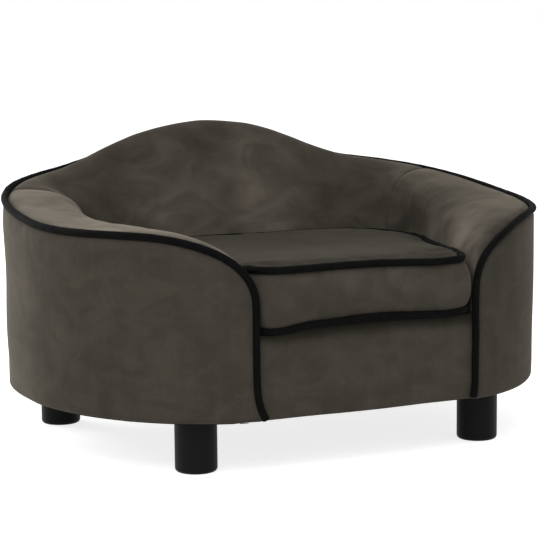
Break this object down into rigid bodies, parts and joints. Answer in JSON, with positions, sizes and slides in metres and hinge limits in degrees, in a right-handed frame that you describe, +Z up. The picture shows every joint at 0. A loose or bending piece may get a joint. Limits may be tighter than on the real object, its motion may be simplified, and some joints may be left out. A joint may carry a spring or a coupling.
{
  "type": "dog sofa bed",
  "caption": "Small sofa bed for a pet: padded horseshoe wall with a humped back, welted edges, round legs and a loose lift-out seat cushion.",
  "frame": {"origin": "on the floor under the middle of the sofa", "axes": "+X to the right seen from the front, +Y towards the back, +Z up"},
  "size_m": [0.6954, 0.5064, 0.393],
  "materials": {
    "velvet_outside": "brushed velvet",
    "velvet_inside": "brushed velvet",
    "velvet_cushion": "brushed velvet",
    "welt_cord": "woven matt",
    "dust_cloth": "non-woven matt",
    "zip_tape": "woven",
    "zip_teeth": "moulded",
    "leg_plastic": "satin",
    "foam": "open-cell foam",
    "plywood": "sanded",
    "pine": "planed",
    "zinc_steel": "zinc plated"
  },
  "bodies": {
    "root": {"base_board": "plywood", "wall_shell": "plywood", "front_rail": "pine", "frame_posts": "pine", "deck_beam_front": "pine", "deck_beam_middle": "pine", "deck_beam_rear": "pine", "seat_deck": "plywood", "deck_screws": "zinc_steel", "post_screws": "zinc_steel", "front_pad": "foam", "back_foam": "foam", "left_arm_foam": "foam", "right_arm_foam": "foam", "outer_cover": "velvet_outside", "front_cover": "velvet_outside", "back_inner_cover": "velvet_inside", "left_arm_cover": "velvet_inside", "right_arm_cover": "velvet_inside", "deck_cloth": "velvet_inside", "edge_welt": "welt_cord", "dust_cover": "dust_cloth", "dust_staples": "zinc_steel", "t_nuts": "zinc_steel", "leg_studs": "zinc_steel", "leg_front_left": "leg_plastic", "leg_front_right": "leg_plastic", "leg_rear_left": "leg_plastic", "leg_rear_right": "leg_plastic"},
    "cushion": {"cushion_foam": "foam", "cushion_top": "velvet_cushion", "cushion_bottom": "velvet_cushion", "cushion_boxing": "velvet_cushion", "top_welt": "welt_cord", "bottom_welt": "welt_cord", "zip_tape": "zip_tape", "zip_teeth": "zip_teeth", "zip_stops": "zinc_steel"},
    "zip_slider": {"zip_slider": "zinc_steel"},
    "zip_pull": {"zip_pull": "zinc_steel"}
  },
  "joints": [
    {"name": "cushion_lift", "type": "slide", "parent": "root", "child": "cushion", "axis": [0, 0, 1], "range_m": [0, 0.23]},
    {"name": "zip_slide", "type": "slide", "parent": "cushion", "child": "zip_slider", "axis": [1, 0, 0], "range_m": [0, 0.166]},
    {"name": "zip_pull_swing", "type": "hinge", "parent": "zip_slider", "child": "zip_pull", "pos_m": [-0.08595, 0.16052, 0.2128], "axis": [0, 0, 1], "range_deg": [0, 12]}
  ]
}
